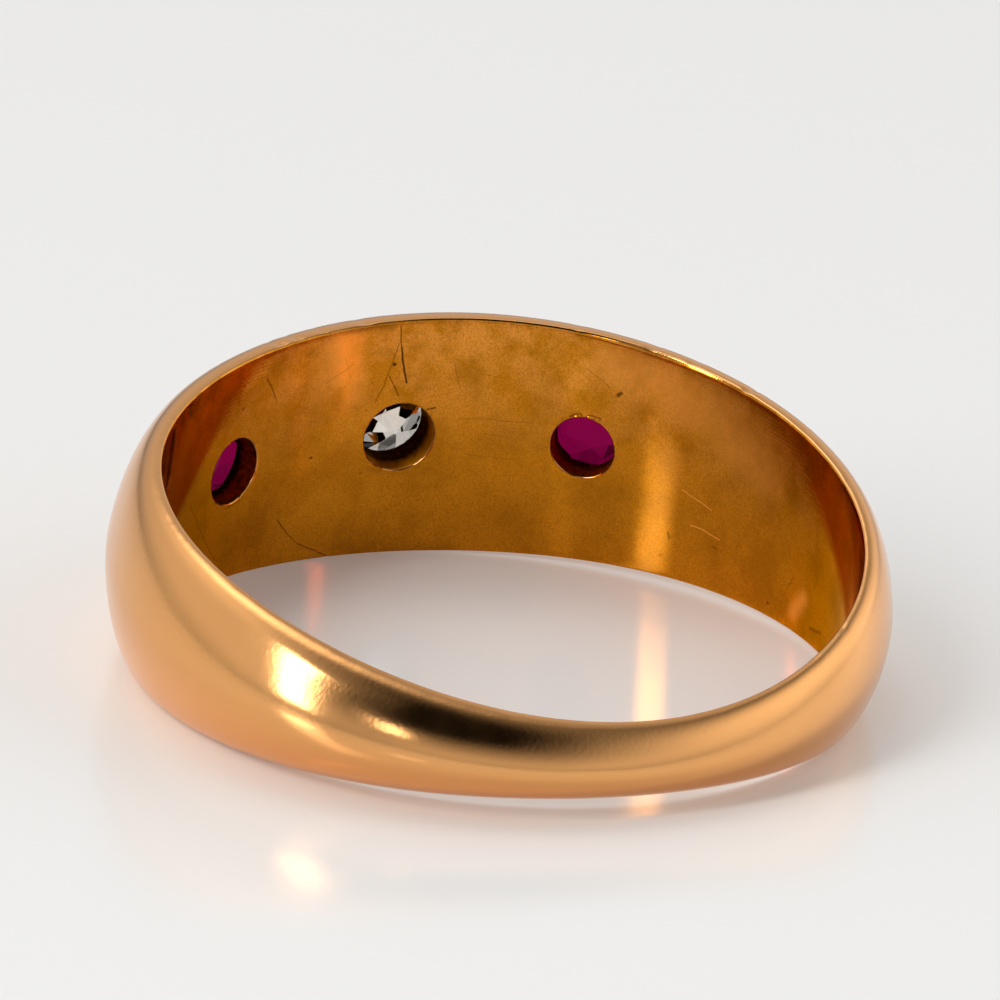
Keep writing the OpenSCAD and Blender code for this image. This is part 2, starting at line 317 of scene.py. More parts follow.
class Hole:
    """One drilled hole with its seat: a local frame with x round the ring, y up the finger
    hole's axis and h outwards from the crest of the dome."""

    def __init__(self, shape, settings, name):
        self.shape = shape
        self.settings = settings
        self.name = name
        self.at = getattr(settings, f"{name}_at")
        self.stone_r = getattr(settings, f"{name}_d") / 2
        self.hole_r = getattr(settings, f"{name}_hole_d") / 2
        cut = "" if name == "diamond" else "ruby_"
        self.pavilion = getattr(settings, f"{cut}pavilion_share")
        self.half = getattr(settings, f"{cut}half_share")
        self.culet = getattr(settings, f"{cut}culet_share")
        self.least_shade = RUBY_HOLE_SHADE if cut else 0.0
        self.crest_r = shape.crest_r(self.at)
        self.middle = shape.middle(self.at)
        self.out = np.array([math.cos(self.at), math.sin(self.at), 0])
        self.along = np.array([-math.sin(self.at), math.cos(self.at), 0])

    def to_ring(self, x, y, h):
        """Points of the ring from local ones."""
        up = np.array([0, 0, 1])
        return (
            np.multiply.outer(self.crest_r + h, self.out)
            + np.multiply.outer(x, self.along)
            + np.multiply.outer(self.middle + y, up)
        )

    def to_local(self, points):
        """The local x and y of points of the ring."""
        return points @ self.along, points[:, 2] - self.middle

    def wall_h(self, x):
        """The height of the finger hole's wall in the local frame."""
        return np.sqrt(self.shape.finger_r**2 - x**2) - self.crest_r

    def dome_h(self, x, y):
        """The height of the dome in the local frame, found in a few steps."""
        reach = np.full(len(x), self.crest_r)
        for _ in range(MEETING_STEPS):
            angle = self.at + np.arctan2(x, reach)
            across = (self.middle + y - self.shape.middle(angle)) / self.shape.half_w(angle)
            reach = np.sqrt(self.shape.dome_r(angle, across) ** 2 - x**2)
        return reach - self.crest_r

    def opening_r(self, turns, lip_r, lip_h):
        """The radius at which the bright-cut opening meets the dome, all the way round."""
        radius = np.full(len(turns), lip_r)
        for _ in range(MEETING_STEPS):
            top = self.dome_h(radius * np.cos(turns), radius * np.sin(turns))
            radius = lip_r + (top - lip_h) * math.tan(self.settings.flare)
        return radius

    def cone_slope(self):
        """Slope of the cone round the pavilion, along its lower girdle facets."""
        flat = math.cos(HALF_STEP)
        main_slope = 2 * self.pavilion / (1 - self.culet * flat)
        half_r = 1 - self.half * (1 - self.culet)
        return main_slope * (1 - half_r * flat) / (1 - half_r)

    def crown_slope(self):
        """Slope of the crown just above the girdle where it is steepest."""
        s = self.settings
        flat = math.cos(HALF_STEP)
        star_r = s.table_share * flat * (1 - s.star_share) + s.star_share
        star_h = 2 * s.crown_share * (1 - star_r * flat) / (1 - s.table_share)
        return star_h / (1 - star_r)

    def burr(self, turns):
        """Height of the crumbled burr that the drill left round the inner end."""
        found = []
        for turned in turns:
            place = Vector((math.cos(turned), math.sin(turned), self.at)) * 3
            rough = max(0.0, noise.noise(place)) + max(0.0, noise.noise(place * 2.7))
            near = (turned - BURR_AT[self.name] + math.pi) % (2 * math.pi) - math.pi
            thick = BURR_LEAST + BURR_MORE * math.exp(-((near / BURR_REACH) ** 2))
            found.append(rough * thick)
        return self.settings.burr * np.array(found)

    def rings(self, dome_loop, wall_loop):
        """The rings of places from the window in the dome, down through the hole and out
        to the window in the finger hole's wall. Each is its points and its finish."""
        s = self.settings
        stone_d = 2 * self.stone_r
        seat_r = self.stone_r + s.seat_gap
        lip_r = self.stone_r - s.grip
        top = -s.table_sink - s.crown_share * stone_d
        low = top - s.girdle_share * stone_d
        lip_slope = self.crown_slope()
        lip_h = top + (seat_r - lip_r) * lip_slope
        hole_h = low - (seat_r - self.hole_r) * self.cone_slope()
        found = []

        def polar(loop):
            x, y = self.to_local(loop)
            return np.hypot(x, y), np.unwrap(np.arctan2(y, x))

        def add(radius, turns, height, dome=0.0, satin=0.0, hole_shade=0.0):
            x, y = radius * np.cos(turns), radius * np.sin(turns)
            if callable(height):
                height = height(x, y)
            found.append((self.to_ring(x, y, height + 0 * x), dome, satin, hole_shade))

        # From the window in the dome to the rubbed edge
        reach, places = polar(dome_loop)
        turns = places[0] + 2 * np.pi * np.arange(PLACES) / PLACES
        open_r = self.opening_r(turns, lip_r, lip_h)
        edge_r = open_r + s.burnish
        for step in range(1, BLEND_STEPS + 1):
            t = (step / BLEND_STEPS) ** 0.8
            turned = places + (turns - places) * t
            add(reach + (edge_r - reach) * t, turned, self.dome_h, dome=1.0)
        # The rubbed edge and the bright-cut slope under it
        open_h = self.dome_h(open_r * np.cos(turns), open_r * np.sin(turns))
        slope = math.tan(s.flare)
        add(open_r + 0.3 * s.burnish, turns, open_h - 0.12 * s.burnish, dome=0.7)
        add(open_r - 0.15 * s.burnish, turns, open_h - 0.5 * s.burnish, dome=0.3)
        for t in (0.0, 0.35, 0.7, 0.93):
            start = open_h - 1.2 * s.burnish
            height = start + (lip_h - start) * t
            add(lip_r + (height - lip_h) * slope, turns, height)
        # The lip over the stone, the seat round it and the cone down to the drilled hole, in
        # painted shade
        under = 0.06 * s.grip
        for radius, height, hole_shade in (
            (lip_r, lip_h, 0.2),
            (lip_r + under, lip_h - under * lip_slope, 0.9),
            (seat_r, top, 1.0),
            (seat_r, low, 1.0),
            (self.hole_r, hole_h, 1.0),
        ):
            add(np.full(PLACES, radius), turns, height, hole_shade=hole_shade)
        # The drilled wall, its painted shade fading towards the finger hole
        end_h = self.wall_h(self.hole_r * np.cos(turns)) + s.burnish
        for step in range(1, DRILL_STEPS + 1):
            t = step / DRILL_STEPS
            height = hole_h + (end_h - hole_h) * t
            depth = (1 - t) * float(np.mean(hole_h - end_h))
            hole_shade = min(1.0, self.least_shade + (1 - self.least_shade) * (depth / s.unshaded_depth) ** 4)
            add(np.full(PLACES, self.hole_r), turns, height, hole_shade=hole_shade)
        # The rounded end with its burr, and out to the window in the finger hole's wall
        lip = self.burr(turns)
        for step in range(1, EDGE_ROWS):
            bow = np.pi / 2 * step / EDGE_ROWS
            radius = self.hole_r + s.burnish * (1 - np.cos(bow))
            height = end_h - (s.burnish + lip) * np.sin(bow)
            add(np.full(PLACES, radius), turns, height, satin=step / EDGE_ROWS)
        reach, places = polar(wall_loop)
        places += 2 * np.pi * np.round((turns[0] - places[0]) / (2 * np.pi))
        edge_r = self.hole_r + s.burnish
        for step in range(BLEND_STEPS):
            t = (step / BLEND_STEPS) ** 1.25
            turned = turns + (places - turns) * t
            radius = edge_r + (reach - edge_r) * t
            x, y = radius * np.cos(turned), radius * np.sin(turned)
            height = self.wall_h(x) - lip * math.exp(-((step / 1.6) ** 2))
            found.append((self.to_ring(x, y, height), 0.0, 1.0, 0.0))
        return found


class BandMesh:
    """The points, faces and finishes of the band's mesh, in the ring's own frame."""

    def __init__(self, shape):
        self.shape = shape
        step = 2 * np.pi / COLUMNS
        self.angles = step * np.arange(COLUMNS)
        radii, heights, dome, satin, rim = shape.sections(self.angles)
        self.rows = radii.shape[1]
        turned = self.angles[:, None]
        grid = np.stack([radii * np.cos(turned), radii * np.sin(turned), heights], -1)
        self.points = [grid.reshape(-1, 3)]
        self.rim = np.tile(rim, COLUMNS)
        self.dome = [np.tile(dome, COLUMNS)]
        self.satin = [np.tile(satin, COLUMNS)]
        # Painted shade of the holes, none on the grid
        self.hole_shade = [np.zeros(COLUMNS * self.rows)]
        self.count = COLUMNS * self.rows
        self.open = np.zeros((COLUMNS, self.rows), bool)
        self.faces = []

    def place(self, column, row):
        """The number of the point at a column and a row."""
        return (column % COLUMNS) * self.rows + row

    def window(self, angle, middle_row, up):
        """Leaves a window open in the grid and gives its edge, anticlockwise from outside.
        Rows run up the dome and down the finger hole's wall."""
        wide, high = WINDOW
        column = round(angle / (2 * np.pi) * COLUMNS)
        for c in range(column - wide, column + wide):
            self.open[c % COLUMNS, middle_row - high : middle_row + high] = True
        edge = [(wide, y) for y in range(-high, high)]
        edge += [(x, high) for x in range(wide, -wide, -1)]
        edge += [(-wide, y) for y in range(high, -high, -1)]
        edge += [(x, -high) for x in range(-wide, wide)]
        return np.array([self.place(column + x, middle_row + up * y) for x, y in edge])

    def add_hole(self, hole):
        """Cuts one hole with its seat."""
        dome_edge = self.window(hole.at, DOME_ROWS // 2, 1)
        wall_row = DOME_ROWS + 1 + EDGE_ROWS + WALL_ROWS // 2
        wall_edge = self.window(hole.at, wall_row, -1)
        grid = self.points[0]
        last = dome_edge
        for ring in hole.rings(grid[dome_edge], grid[wall_edge]):
            last = self.add_ring(last, *ring)
        self.join(last, wall_edge)

    def add_ring(self, last, points, dome, satin, hole_shade):
        """Adds a ring of places and joins it to the last one."""
        ring = self.count + np.arange(len(points))
        self.count += len(points)
        self.points.append(points)
        self.dome.append(np.full(len(points), dome))
        self.satin.append(np.full(len(points), satin))
        self.hole_shade.append(np.full(len(points), hole_shade))
        self.join(last, ring)
        return ring

    def join(self, first, second):
        """Quads between two rings with as many places."""
        after_first, after_second = np.roll(first, -1), np.roll(second, -1)
        self.faces.append(np.stack([first, after_first, after_second, second], -1))

    def close(self):
        """The quads of the grid, apart from its windows."""
        column, row = np.nonzero(~self.open)
        after = (row + 1) % self.rows
        corners = [
            self.place(column, row),
            self.place(column + 1, row),
            self.place(column + 1, after),
            self.place(column, after),
        ]
        self.faces.append(np.stack(corners, -1))

    def worn(self, depth):
        """The points with the soft hollows of the dome and the chips and nicks of the rims."""
        points = np.concatenate(self.points)
        dome = np.concatenate(self.dome)
        for i in np.nonzero(dome > 0)[0]:
            place = Vector(points[i]) / MM
            hollow = noise.noise(place / WIDE_HOLLOW) + 0.5 * noise.noise(place / SMALL_HOLLOW)
            points[i, :2] *= 1 - depth * dome[i] * (0.75 + 0.5 * hollow) / self.shape.finger_r
        for i in np.nonzero(self.rim)[0]:
            place = Vector(points[i]) / MM
            angle = math.degrees(math.atan2(place.y, place.x))
            wide_chip = max(0.0, noise.noise(place * WIDE_CHIPS) - 0.1)
            small_chip = max(0.0, noise.noise(place * SMALL_CHIPS)) / 2
            sunk = 0.4 * depth + depth * (wide_chip + small_chip)
            for at, side, wide, deep in NICKS:
                if side * self.rim[i] > 0:
                    sunk += deep * MM * math.exp(-(((angle - at) / wide) ** 2))
            points[i, 2] -= self.rim[i] * sunk
        return points


# Nicks in the rims: place in degrees round the ring, 1 for the upper rim or -1 for the lower,
# half width in degrees and depth in millimetres
NICKS = [
    (24.0, 1, 0.9, 0.035),
    (20.6, 1, 0.8, 0.03),
    (15.5, 1, 0.7, 0.015),
    (7.6, 1, 1.1, 0.03),
    (-28.0, 1, 0.8, 0.015),
    (-41.0, 1, 0.9, 0.022),
    (-48.5, 1, 0.8, 0.018),
    (-59.6, 1, 0.7, 0.045),
    (10.2, -1, 0.7, 0.015),
    (-77.5, -1, 0.8, 0.025),
    (-130.0, 1, 1.0, 0.012),
]


def lying_down(points):
    """Points of the ring, turned and lifted so that it lies on the floor as the record says."""
    axis = Vector(BORE["axis"])
    roll = -math.asin(axis.y)
    pitch = math.atan2(axis.x, axis.z)
    turned = Matrix.Rotation(pitch, 3, "Y") @ Matrix.Rotation(roll, 3, "X")
    placed = points @ np.array(turned).T
    lift = -placed[:, 2].min() / turned[2][2]
    return placed + np.array(axis) * lift


def new_object(name, mesh, *materials):
    """An object with its materials, in the scene."""
    made = bpy.data.objects.new(name, mesh)
    for material in materials:
        mesh.materials.append(material)
    bpy.context.scene.collection.objects.link(made)
    return made


def node(tree, kind, inputs=None, **settings):
    """Adds a node. Its inputs go by name or number, and each is a value, an output of another
    node, or another node, which stands for its first output."""
    made = tree.nodes.new(kind)
    for name, value in settings.items():
        setattr(made, name, value)
    for name, value in (inputs or {}).items():
        if isinstance(value, bpy.types.Node):
            value = value.outputs[0]
        if isinstance(value, bpy.types.NodeSocket):
            tree.links.new(value, made.inputs[name])
        else:
            made.inputs[name].default_value = value
    return made


def new_material(name):
    """An empty material and its node tree."""
    material = bpy.data.materials.new(name)
    material.use_nodes = True
    material.node_tree.nodes.clear()
    return material, material.node_tree


# Sizes of the patterns in the finishes, in millimetres. The ripple stands for hairlines, and
# it, the turning marks and the grain are finer on the ring and drawn this coarse to show.
POLISH_HAZE = 1.43
POLISH_RIPPLE = 0.1111
UNSTEADY_HAND = 0.625
FILM_CLOUD = 1.43
PALE_PATCH = 0.909
TURNING_LONG = 2.857
TURNING_APART = 0.05
SATIN_GRAIN = 0.04545
DRILLING_GRIT = 0.1429


def polished_gold(finish):
    """Cast 18 carat gold, filed, polished and then worn for years. The wear leaves a soft
    gloss, with hazy patches and a fine ripple that blur and bend what it reflects."""
    material, tree = new_material("polished gold")
    place = node(tree, "ShaderNodeAttribute", attribute_name="ring_place").outputs["Vector"]
    haze = node(
        tree, "ShaderNodeTexNoise", {"Vector": place, "Scale": 1 / POLISH_HAZE, "Detail": 4.0}
    )
    rough = node(
        tree,
        "ShaderNodeMapRange",
        {"Value": haze, "From Min": 0.3, "From Max": 0.7, "To Min": 0.13, "To Max": 0.2},
    )
    ripple = node(
        tree, "ShaderNodeTexNoise", {"Vector": place, "Scale": 1 / POLISH_RIPPLE, "Detail": 5.0}
    )
    bump = node(
        tree, "ShaderNodeBump", {"Height": ripple, "Strength": 0.06, "Distance": 0.04 * MM}
    )
    shader = node(
        tree,
        "ShaderNodeBsdfPrincipled",
        {
            "Base Color": finish.gold,
            "Metallic": 1.0,
            "Roughness": rough,
            "Normal": bump,
        },
    )
    node(tree, "ShaderNodeOutputMaterial", {"Surface": shader})
    return material


def scratch_group():
    """A group that draws one scratch from one place on the finger hole's wall to another."""
    group = bpy.data.node_groups.new("scratch", "ShaderNodeTree")
    for name in ("Place", "From", "To"):
        group.interface.new_socket(name, in_out="INPUT", socket_type="NodeSocketVector")
    group.interface.new_socket("Width", in_out="INPUT", socket_type="NodeSocketFloat")
    group.interface.new_socket("Mark", in_out="OUTPUT", socket_type="NodeSocketFloat")
    given = node(group, "NodeGroupInput").outputs
    start, end = given["From"], given["To"]
    away = node(
        group, "ShaderNodeVectorMath", {0: given["Place"], 1: start}, operation="SUBTRACT"
    )
    along = node(group, "ShaderNodeVectorMath", {0: end, 1: start}, operation="SUBTRACT")
    reach = node(group, "ShaderNodeVectorMath", {0: away, 1: along}, operation="DOT_PRODUCT")
    whole = node(group, "ShaderNodeVectorMath", {0: along, 1: along}, operation="DOT_PRODUCT")
    part = node(
        group,
        "ShaderNodeMath",
        {0: reach.outputs["Value"], 1: whole.outputs["Value"]},
        operation="DIVIDE",
        use_clamp=True,
    )
    nearest = node(group, "ShaderNodeVectorMath", {0: along, "Scale": part}, operation="SCALE")
    apart = node(group, "ShaderNodeVectorMath", {0: away, 1: nearest}, operation="DISTANCE")
    mark = node(
        group,
        "ShaderNodeMapRange",
        {
            "Value": apart.outputs["Value"],
            "From Max": given["Width"],
            "To Min": 1.0,
            "To Max": 0.0,
        },
        interpolation_type="SMOOTHSTEP",
    )
    node(group, "NodeGroupOutput", {"Mark": mark})
    return group


def satin_gold(finish, finger_r):
    """The same gold, turned smooth inside and then rubbed by the finger for years. It mirrors
    like a soft brass, in streaks along the finger hole, through a fine grain, clouds of
    brown film and the dark scratches of its wear. It is painted paler in patches that grow
    towards the upper rim, a painted highlight, and its wide bright marks are painted reflections."""
    material, tree = new_material("satin gold")
    place = node(tree, "ShaderNodeAttribute", attribute_name="ring_place").outputs["Vector"]
    axes = node(tree, "ShaderNodeSeparateXYZ", {"Vector": place}).outputs
    # The wall unrolled, in millimetres round the ring and up its axis, a little unsteady
    angle = node(tree, "ShaderNodeMath", {0: axes["Y"], 1: axes["X"]}, operation="ARCTAN2")
    arc = node(tree, "ShaderNodeMath", {0: angle, 1: finger_r / MM}, operation="MULTIPLY")
    unrolled = node(tree, "ShaderNodeCombineXYZ", {"X": arc, "Y": axes["Z"]})
    shake = node(
        tree, "ShaderNodeTexNoise", {"Vector": place, "Scale": 1 / UNSTEADY_HAND, "Detail": 2.0}
    )
    shaken = node(
        tree,
        "ShaderNodeVectorMath",
        {0: shake.outputs["Color"], 1: (0.1, 0.1, 0.0), 2: unrolled},
        operation="MULTIPLY_ADD",
    )
    centred = node(
        tree, "ShaderNodeVectorMath", {0: shaken, 1: (0.05, 0.05, 0.0)}, operation="SUBTRACT"
    )
    group = scratch_group()
    # Dark marks, and bright ones: thin fresh scratches and wide painted reflections of light
    dark, fresh_and_lit = 0.0, 0.0
    for from_at, from_up, to_at, to_up, width, depth in MARKS:
        start = (math.radians(from_at) * finger_r / MM, from_up, 0.0)
        end = (math.radians(to_at) * finger_r / MM, to_up + 0.001, 0.0)
        mark = node(
            tree,
            "ShaderNodeGroup",
            {"Place": centred, "From": start, "To": end, "Width": width},
            node_tree=group,
        )
        weighed = node(tree, "ShaderNodeMath", {0: mark, 1: abs(depth)}, operation="MULTIPLY")
        if depth > 0:
            dark = node(tree, "ShaderNodeMath", {0: dark, 1: weighed}, operation="MAXIMUM")
        else:
            fresh_and_lit = node(tree, "ShaderNodeMath", {0: fresh_and_lit, 1: weighed}, operation="MAXIMUM")
    # Clouds of film
    drift = node(
        tree,
        "ShaderNodeTexNoise",
        {"Vector": place, "Scale": 1 / FILM_CLOUD, "Detail": 6.0, "Roughness": 0.62},
    )
    clouds = node(
        tree, "ShaderNodeMapRange", {"Value": drift, "From Min": 0.44, "From Max": 0.62}
    )
    film = node(tree, "ShaderNodeMath", {0: clouds, 1: 0.42}, operation="MULTIPLY")
    # Paler metal in random patches, and a painted highlight that grows towards the upper rim
    upper = node(
        tree,
        "ShaderNodeMapRange",
        {"Value": axes["Z"], "From Min": -0.5, "From Max": 3.2, "To Max": 0.85},
    )
    patches = node(
        tree,
        "ShaderNodeTexNoise",
        {"Vector": place, "Scale": 1 / PALE_PATCH, "Detail": 6.0, "Roughness": 0.65},
    )
    patchy = node(
        tree, "ShaderNodeMapRange", {"Value": patches, "From Min": 0.4, "From Max": 0.58}
    )
    pale_and_lit = node(
        tree, "ShaderNodeMath", {0: upper, 1: patchy}, operation="MULTIPLY", use_clamp=True
    )
    paler = node(tree, "ShaderNodeMath", {0: pale_and_lit, 1: 0.8}, operation="MULTIPLY")
    # The marks of turning, drawn out round the ring, and the grain
    wide, fine = 1 / TURNING_LONG, 1 / TURNING_APART
    stretched = node(tree, "ShaderNodeMapping", {"Vector": place, "Scale": (wide, wide, fine)})
    turned = node(
        tree, "ShaderNodeTexNoise", {"Vector": stretched, "Scale": 1.0, "Detail": 2.0}
    )
    grain = node(
        tree, "ShaderNodeTexNoise", {"Vector": place, "Scale": 1 / SATIN_GRAIN, "Detail": 2.0}
    )
    grains = node(
        tree, "ShaderNodeMapRange", {"Value": grain, "From Min": 0.4, "From Max": 0.72}
    )
    speck = node(tree, "ShaderNodeMath", {0: grains, 1: 0.45}, operation="MULTIPLY")
    darkened = node(tree, "ShaderNodeMath", {0: dark, 1: 0.92}, operation="MULTIPLY")
    # Film, the pale patches with their painted highlight, grain, dark marks, and the bright marks,
    # of which the wide ones are painted reflections of light
    base = finish.satin
    for factor, tint in (
        (film, finish.film),
        (paler, finish.pale_and_lit),
        (speck, finish.speck),
        (darkened, finish.tarnish_and_shade),
        (fresh_and_lit, finish.pale_and_lit),
    ):
        base = node(
            tree, "ShaderNodeMix", {"Factor": factor, 6: base, 7: tint}, data_type="RGBA"
        ).outputs[2]
    cloudy = node(
        tree, "ShaderNodeMapRange", {"Value": clouds, "To Min": 0.09, "To Max": 0.17}
    )
    dull = node(tree, "ShaderNodeMath", {0: dark, 1: 0.6}, operation="MULTIPLY")
    rough = node(tree, "ShaderNodeMath", {0: cloudy, 1: dull}, operation="MAXIMUM")
    # The marks stay out of the relief, which would take more memory than Cycles gives a shader
    low_grain = node(tree, "ShaderNodeMath", {0: grain, 1: 0.6}, operation="MULTIPLY")
    relief = node(tree, "ShaderNodeMath", {0: turned, 1: low_grain}, operation="ADD")
    bump = node(
        tree, "ShaderNodeBump", {"Height": relief, "Strength": 0.1, "Distance": 0.015 * MM}
    )
    round_ring = node(tree, "ShaderNodeTangent", direction_type="RADIAL", axis="Z")
    shader = node(
        tree,
        "ShaderNodeBsdfPrincipled",
        {
            "Base Color": base,
            "Metallic": 1.0,
            "Roughness": rough,
            "Specular Tint": finish.satin_edge,
            "Anisotropic": 0.8,
            "Anisotropic Rotation": 0.25,
            "Tangent": round_ring,
            "Normal": bump,
        },
    )
    node(tree, "ShaderNodeOutputMaterial", {"Surface": shader})
    return material


# Marks in the finger hole's wall: where each starts and ends, in degrees round the ring and
# millimetres up its axis, its half width in millimetres, and how dark it is, below 0 where it
# is bright. The thin ones are pits and scratches, some fresh and bright; the wide bright ones
# are painted reflections of light, and the wide dark ones darken patches, most near the upper rim
MARKS = [
    (1.9, 2.0, 1.8, 2.0, 0.075, 1.0),
    (-36.9, 1.78, -36.5, 1.7, 0.085, 1.0),
    (15.8, -0.4, 15.4, -0.4, 0.05, 0.8),
    (5.8, -1.03, 5.5, -1.03, 0.04, 0.6),
    (32.4, 1.56, 32.0, 1.58, 0.06, 0.6),
    (50.4, 2.5, 49.0, 2.3, 0.16, 0.6),
    (47.5, 2.8, 46.0, 2.7, 0.12, 0.4),
    (-71.2, -2.2, -71.0, -2.2, 0.07, 0.7),
    (-48.6, -1.76, -48.2, -1.6, 0.05, 0.6),
    (-46.0, -0.9, -45.8, -0.9, 0.04, 0.5),
    (-47.6, -2.3, -47.4, -2.3, 0.04, 0.5),
    (-58.1, -1.51, -57.5, -1.5, 0.06, 0.5),
    (-4.8, 0.7, -6.2, 0.75, 0.05, 0.7),
    (1.5, 3.04, 0.9, 2.47, 0.03, 0.8),
    (0.9, 2.47, -0.6, 1.45, 0.045, 0.95),
    (1.4, 2.57, 3.3, 1.37, 0.025, 0.55),
    (3.3, 1.37, 4.6, 0.95, 0.025, 0.55),
    (2.5, 1.69, 0.4, 1.08, 0.025, 0.65),
    (27.1, 2.22, 24.6, 1.59, 0.03, 0.75),
    (21.2, -1.97, 18.8, -2.41, 0.03, 0.75),
    (18.8, -2.41, 16.4, -2.78, 0.022, 0.6),
    (16.4, -2.78, 10.2, -3.3, 0.028, 0.8),
    (14.1, 1.66, 9.4, 2.12, 0.022, 0.5),
    (11.0, 2.3, 9.5, 1.7, 0.02, 0.45),
    (-9.9, 1.3, -8.5, 2.0, 0.018, 0.45),
    (-30.5, 2.27, -34.9, 1.86, 0.018, 0.45),
    (-10.6, 0.47, -21.8, 0.49, 0.016, 0.4),
    (-12.5, -0.56, -21.4, -0.57, 0.016, 0.35),
    (-13.0, 1.75, -20.5, 1.6, 0.016, 0.35),
    (-15.0, 0.1, -19.0, 0.05, 0.016, 0.35),
    (-76.8, -1.06, -75.1, -1.6, 0.024, 0.4),
    (-73.6, -1.51, -77.0, -1.2, 0.02, 0.35),
    (-84.0, -1.95, -88.0, -1.8, 0.09, 0.5),
    (45.7, -0.39, 35.4, -2.5, 0.03, 0.4),
    (14.5, 2.99, 8.8, 3.05, 0.3, 0.3),
    (8.8, 3.05, 3.0, 3.05, 0.2, 0.25),
    (53.5, 2.6, 53.0, 2.4, 0.2, 0.5),
    (67.0, 2.6, 67.0, 1.4, 0.25, 0.5),
    (-38.0, 2.95, -50.0, 2.9, 0.3, 0.1),
    (-50.0, 2.9, -66.0, 2.8, 0.35, 0.2),
    (-78.0, 3.2, -91.0, 2.5, 0.5, 0.35),
    (-91.0, 2.5, -98.0, 1.6, 0.5, 0.35),
    (-45.2, -3.3, -46.6, 0.3, 0.6, -0.25),
    (-36.0, 2.6, -52.0, 2.1, 1.1, -0.5),
    (-52.0, 2.1, -66.0, 1.3, 1.3, -0.5),
    (-50.0, -0.33, -56.1, -0.55, 0.026, -0.9),
    (-52.3, -1.19, -55.3, -1.16, 0.026, -1.0),
    (-55.3, -1.16, -58.6, -1.25, 0.026, -1.0),
    (-61.9, 1.97, -62.3, 1.32, 0.018, -0.4),
    (-62.3, 1.32, -64.1, 0.59, 0.018, -0.4),
    (12.0, 2.6, 11.4, 1.9, 0.8, -0.6),
    (9.8, 2.7, 8.8, 1.2, 0.6, -0.4),
    (15.2, 2.2, 14.6, 1.4, 0.6, -0.3),
    (-78.0, -1.95, -80.5, -1.4, 0.4, -0.7),
    (-70.0, 2.1, -79.0, 1.63, 0.07, -0.3),
    (-79.0, 1.63, -86.5, 0.9, 0.07, -0.35),
    (-86.5, 0.9, -95.3, 0.07, 0.07, -0.3),
]


def drilled_gold(finish):
    """The same gold where the drill and the graver cut it. It is bright at the edge of a hole
    and turns brown and dark deeper in and under the stone, which is painted shade."""
    material, tree = new_material("drilled gold")
    # Painted shade, darker deeper in each hole, broken up by a grit
    hole_shade = node(tree, "ShaderNodeAttribute", attribute_name="hole_shade").outputs["Fac"]
    place = node(tree, "ShaderNodeAttribute", attribute_name="ring_place").outputs["Vector"]
    grit = node(
        tree, "ShaderNodeTexNoise", {"Vector": place, "Scale": 1 / DRILLING_GRIT, "Detail": 3.0}
    )
    uneven = node(tree, "ShaderNodeMath", {0: grit, 1: 0.5}, operation="SUBTRACT")
    darkened = node(tree, "ShaderNodeMath", {0: hole_shade, 1: uneven}, use_clamp=True)
    tint = node(
        tree,
        "ShaderNodeMix",
        {"Factor": darkened, 6: finish.satin, 7: finish.tarnish_and_shade},
        data_type="RGBA",
    )
    dull = node(tree, "ShaderNodeMapRange", {"Value": darkened, "To Min": 0.4, "To Max": 0.5})
    shader = node(
        tree,
        "ShaderNodeBsdfPrincipled",
        {
            "Base Color": tint.outputs[2],
            "Metallic": 1.0,
            "Roughness": dull,
            "Specular Tint": finish.drilled_edge,
        },
    )
    node(tree, "ShaderNodeOutputMaterial", {"Surface": shader})
    return material


def cut_diamond(finish):
    """Old cut diamond, polished on a scaife. It bends light strongly and is faintly brown,
    and the grease on its back takes the edge off the reflections."""
    material, tree = new_material("cut diamond")
    shader = node(
        tree,
        "ShaderNodeBsdfPrincipled",
        {
            "Base Color": finish.diamond,
            "Roughness": 0.0,
            "IOR": 2.42,
            "Specular Tint": finish.diamond_sheen,
            "Transmission Weight": 1.0,
        },
    )
    node(tree, "ShaderNodeOutputMaterial", {"Surface": shader})
    return material


def cut_ruby(finish):
    """Ruby, cut and polished. Its glow is a deep purplish red, nearly black where the light
    has gone through it more than once, and grease on its back leaves it hardly a sheen."""
    material, tree = new_material("cut ruby")
    shader = node(
        tree,
        "ShaderNodeBsdfPrincipled",
        {
            "Base Color": finish.ruby,
            "Roughness": 0.0,
            "IOR": 1.77,
            "Specular Tint": finish.ruby_sheen,
            "Transmission Weight": 1.0,
        },
    )
    node(tree, "ShaderNodeOutputMaterial", {"Surface": shader})
    return material


